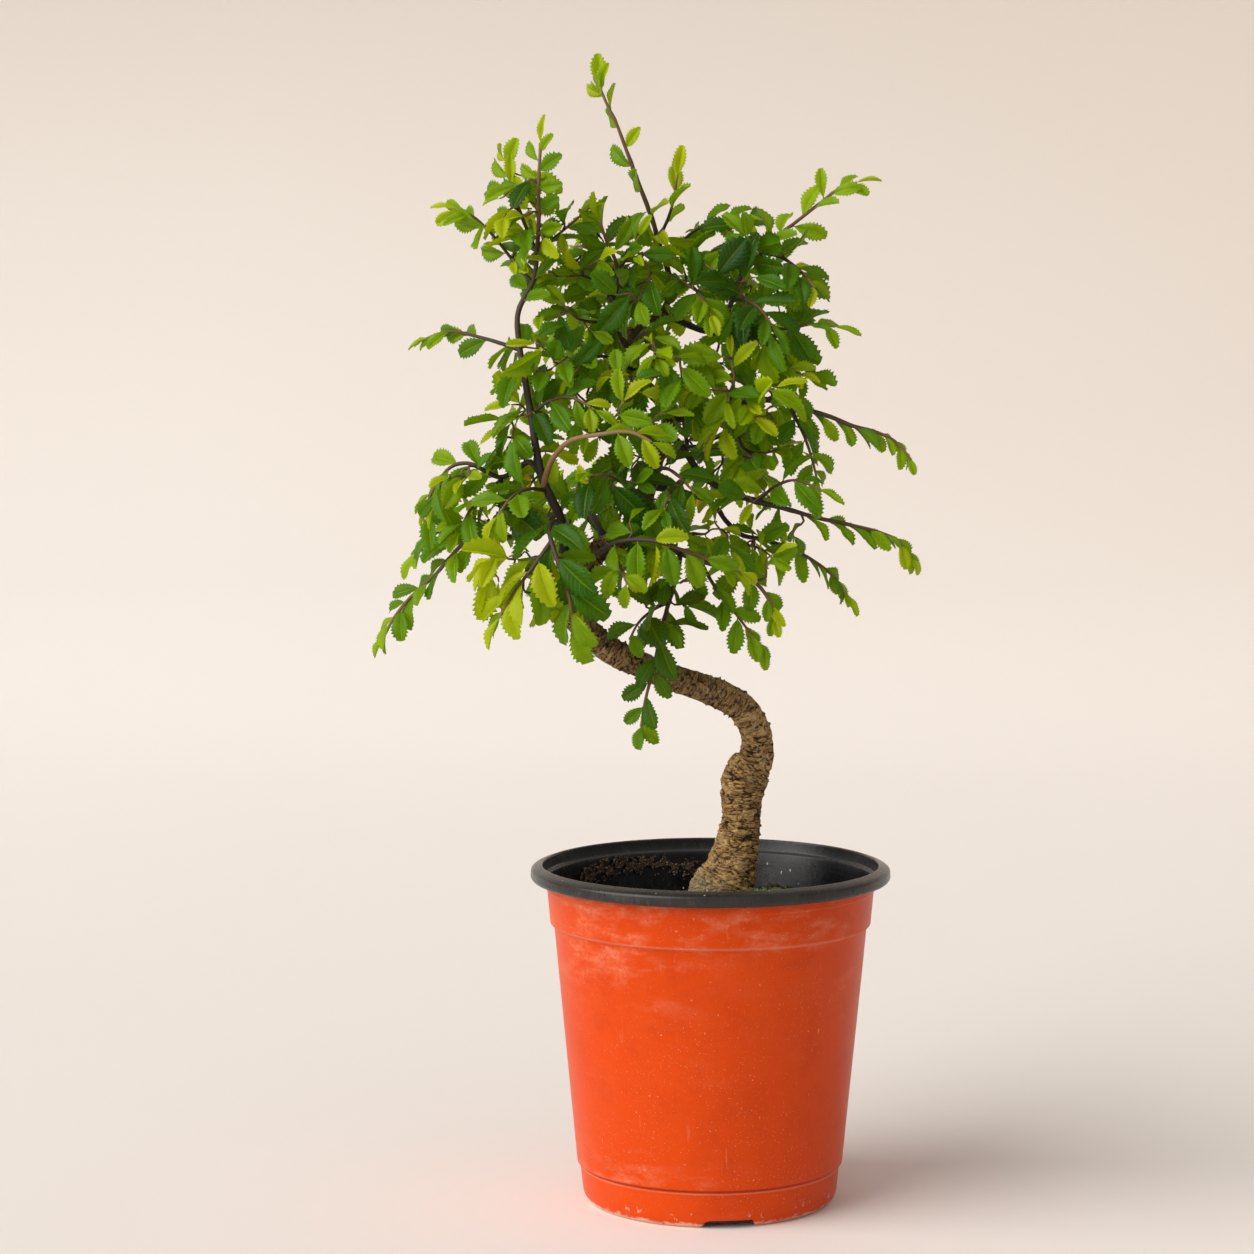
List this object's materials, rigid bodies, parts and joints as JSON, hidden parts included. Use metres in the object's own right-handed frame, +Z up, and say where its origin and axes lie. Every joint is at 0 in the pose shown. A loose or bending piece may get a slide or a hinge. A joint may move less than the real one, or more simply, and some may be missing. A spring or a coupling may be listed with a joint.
{
  "type": "potted bonsai tree",
  "caption": "Small-leaved bonsai tree with a bent bare trunk and airy crown, growing in a tapered two-layer plastic nursery pot with a rolled rim.",
  "frame": {"origin": "on the pot's axis, on the surface that the pot stands on", "axes": "+Z up along the pot's axis; -Y is the front, where the trunk's bend opens to the left; +X to the right of the front"},
  "size_m": [0.2331, 0.16, 0.5023],
  "materials": {
    "pot_outside": "satin",
    "pot_inside": "satin",
    "potting_soil": "matte",
    "bark": "matte",
    "foliage": "satin"
  },
  "bodies": {
    "root": {"apex_branch": "foliage", "apex_left_shoot": "foliage", "apex_right_shoot": "foliage", "arching_branch": "foliage", "back_crown_shoot": "foliage", "back_high_branch": "foliage", "back_high_side_shoot": "foliage", "back_left_shoot": "foliage", "back_low_branch": "foliage", "back_low_inner_shoot": "foliage", "back_low_side_shoot": "foliage", "back_middle_branch": "foliage", "back_middle_side_shoot": "foliage", "back_middle_up_shoot": "foliage", "back_top_shoot": "foliage", "centre_left_shoot": "foliage", "centre_low_shoot": "foliage", "centre_middle_shoot": "foliage", "centre_whorl_shoot": "foliage", "front_down_branch": "foliage", "front_down_left_shoot": "foliage", "front_left_shoot": "foliage", "front_low_shoot": "foliage", "front_spray_branch": "foliage", "hanging_branch": "foliage", "hanging_left_shoot": "foliage", "leader_branch": "foliage", "leader_right_shoot": "foliage", "leader_side_shoot": "foliage", "left_branch": "foliage", "left_cluster_shoot": "foliage", "left_high_shoot": "foliage", "left_low_branch": "foliage", "left_low_side_shoot": "foliage", "left_middle_branch": "foliage", "left_middle_up_shoot": "foliage", "low_branch": "foliage", "low_hanging_shoot": "foliage", "lower_right_branch": "foliage", "pot_inner_layer": "pot_inside", "pot_outer_layer": "pot_outside", "right_branch": "foliage", "right_down_shoot": "foliage", "right_front_shoot": "foliage", "right_high_shoot": "foliage", "right_low_branch": "foliage", "right_low_side_shoot": "foliage", "right_under_shoot": "foliage", "right_up_shoot": "foliage", "soil": "potting_soil", "trunk": "bark", "upper_centre_shoot": "foliage", "upper_left_inner_shoot": "foliage", "upper_left_lean_shoot": "foliage", "upper_left_low_shoot": "foliage", "upper_middle_left_shoot": "foliage", "upper_right_branch": "foliage", "upper_right_dark_shoot": "foliage", "upper_right_droop_shoot": "foliage", "upper_right_leaf_shoot": "foliage"}
  },
  "joints": []
}
